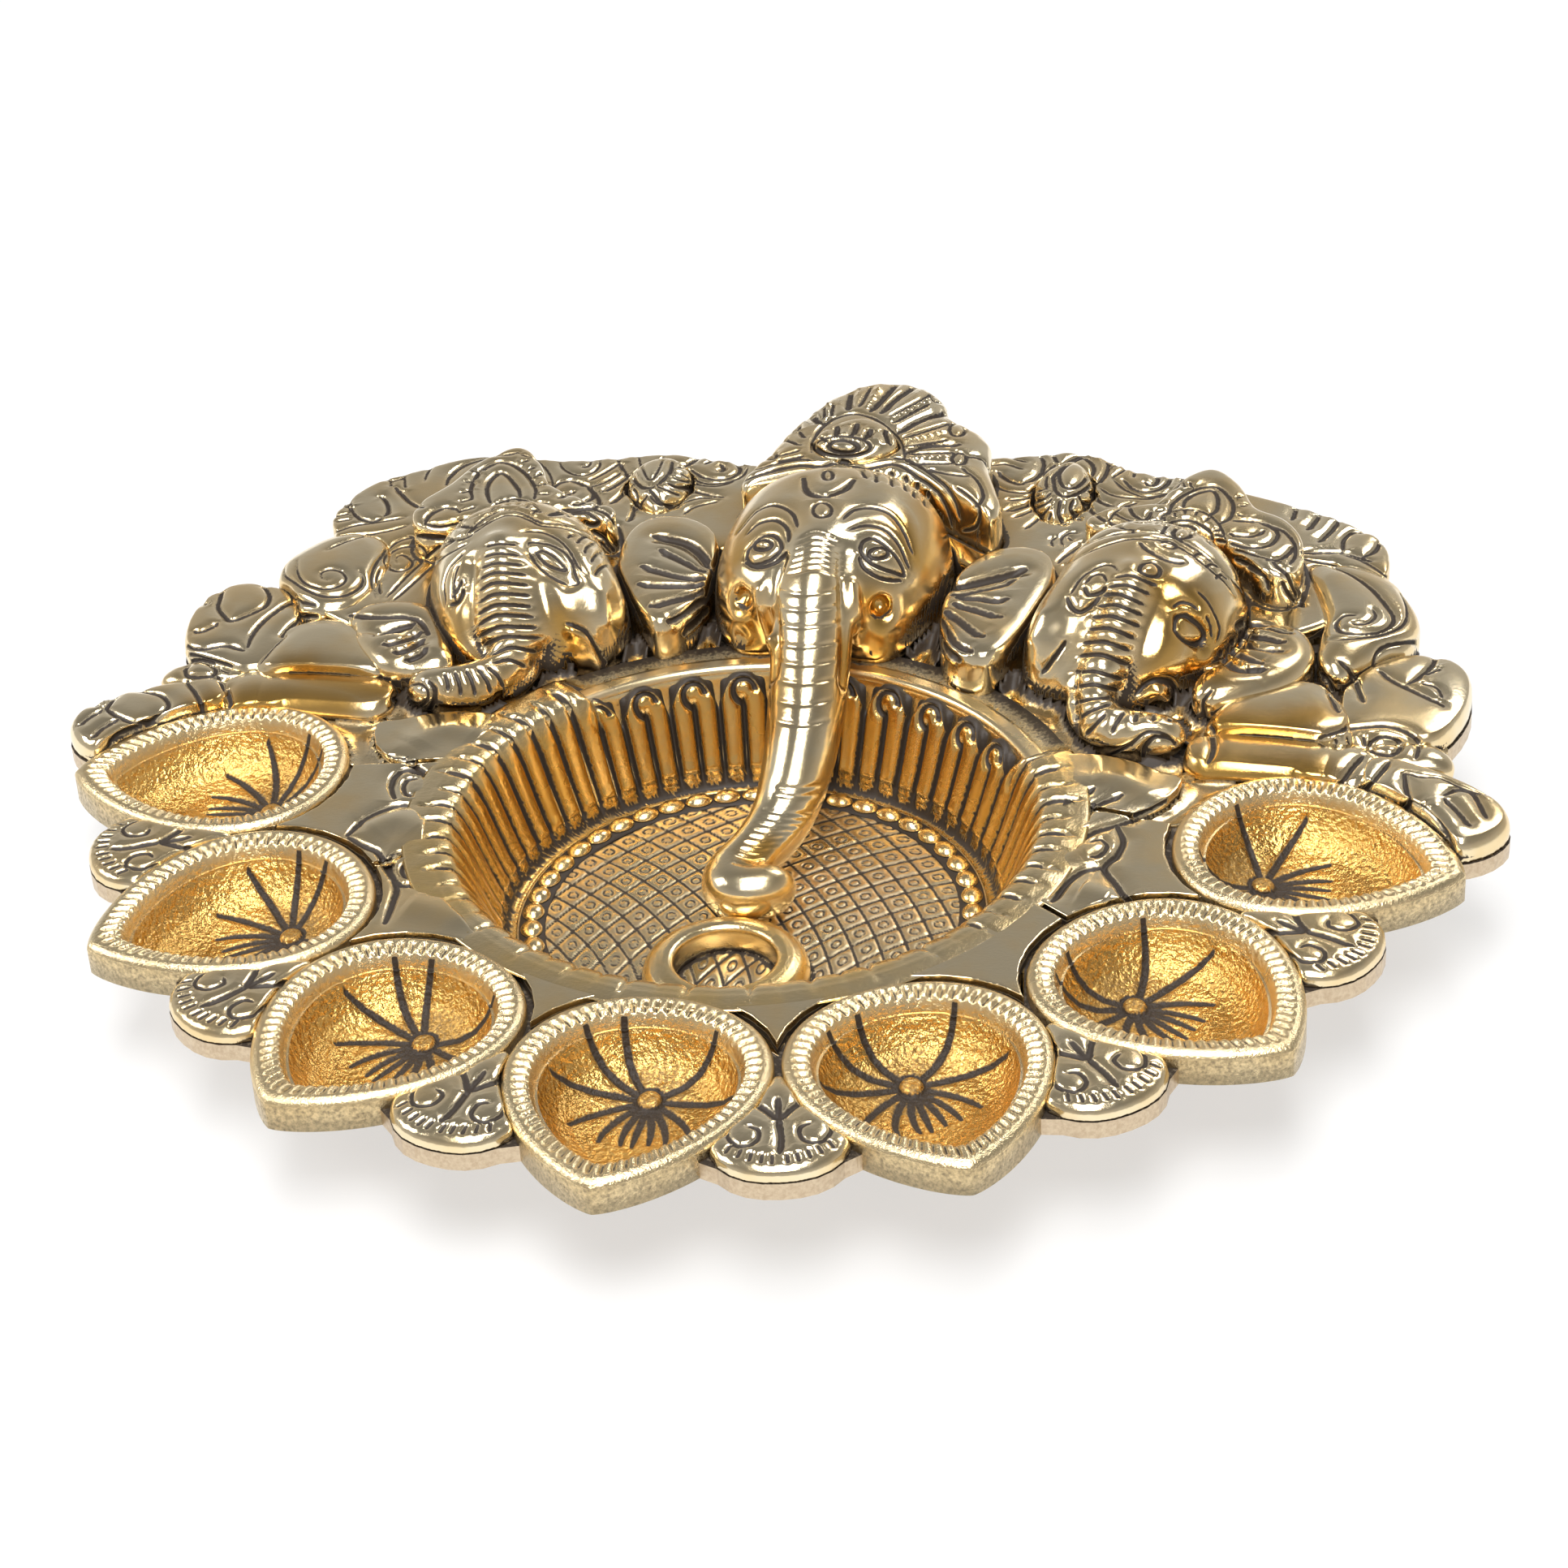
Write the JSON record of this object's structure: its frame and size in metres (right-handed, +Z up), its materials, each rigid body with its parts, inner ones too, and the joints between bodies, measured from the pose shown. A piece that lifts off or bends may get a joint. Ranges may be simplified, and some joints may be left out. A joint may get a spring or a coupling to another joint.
{
  "type": "puja thali with oil lamp cups",
  "caption": "Cast metal worship tray: leaf-shaped oil lamp cups fan round a fluted offering bowl, with elephant heads, arms and scrollwork rising along the back edge.",
  "frame": {"origin": "centre of the tray's length and width, on the table under the bowl", "axes": "+X to the tray's right seen from the cups, +Y towards the heads, +Z up"},
  "size_m": [0.2602, 0.2516, 0.0463],
  "materials": {
    "relief_gold": "polished antique gold plating with dark patina left in the grooves",
    "cup_gold": "antique gold plating over a sand-cast inner face, polished rim",
    "bowl_gold": "antique gold plating with dark patina between flutes and lattice lines"
  },
  "bodies": {
    "root": {"base_plate": "relief_gold", "offering_bowl": "bowl_gold", "lotus_lining": "bowl_gold", "bead_ring": "bowl_gold", "lamp_ring": "bowl_gold", "oil_cup_1": "cup_gold", "oil_cup_2": "cup_gold", "oil_cup_3": "cup_gold", "oil_cup_4": "cup_gold", "oil_cup_5": "cup_gold", "oil_cup_6": "cup_gold", "oil_cup_7": "cup_gold", "rim_leaf_1": "relief_gold", "rim_leaf_2": "relief_gold", "rim_leaf_3": "relief_gold", "rim_leaf_4": "relief_gold", "rim_leaf_5": "relief_gold", "rim_leaf_6": "relief_gold", "rim_petal_1": "relief_gold", "rim_petal_2": "relief_gold", "rim_petal_3": "relief_gold", "rim_petal_4": "relief_gold", "rim_petal_5": "relief_gold", "rim_petal_6": "relief_gold", "rim_petal_7": "relief_gold", "rim_petal_8": "relief_gold", "head_middle": "relief_gold", "trunk_middle": "relief_gold", "tusk_left": "relief_gold", "tusk_right": "relief_gold", "ear_middle_left": "relief_gold", "ear_middle_right": "relief_gold", "crown_middle": "relief_gold", "crown_gem": "relief_gold", "head_left": "relief_gold", "trunk_left": "relief_gold", "ear_left": "relief_gold", "crown_left": "relief_gold", "head_right": "relief_gold", "trunk_right": "relief_gold", "ear_right": "relief_gold", "crown_right": "relief_gold", "forearm_lower_left": "relief_gold", "hand_lower_left": "relief_gold", "forearm_upper_left": "relief_gold", "hand_upper_left": "relief_gold", "forearm_lower_right": "relief_gold", "hand_lower_right": "relief_gold", "forearm_upper_right": "relief_gold", "hand_upper_right": "relief_gold", "rosette_left": "relief_gold", "rosette_right": "relief_gold", "lotus_bud_left": "relief_gold", "lotus_bud_right": "relief_gold", "scroll_panel_left": "relief_gold", "scroll_panel_right": "relief_gold", "volute_left": "relief_gold", "volute_right": "relief_gold", "foot_left": "relief_gold", "foot_right": "relief_gold"}
  },
  "joints": []
}
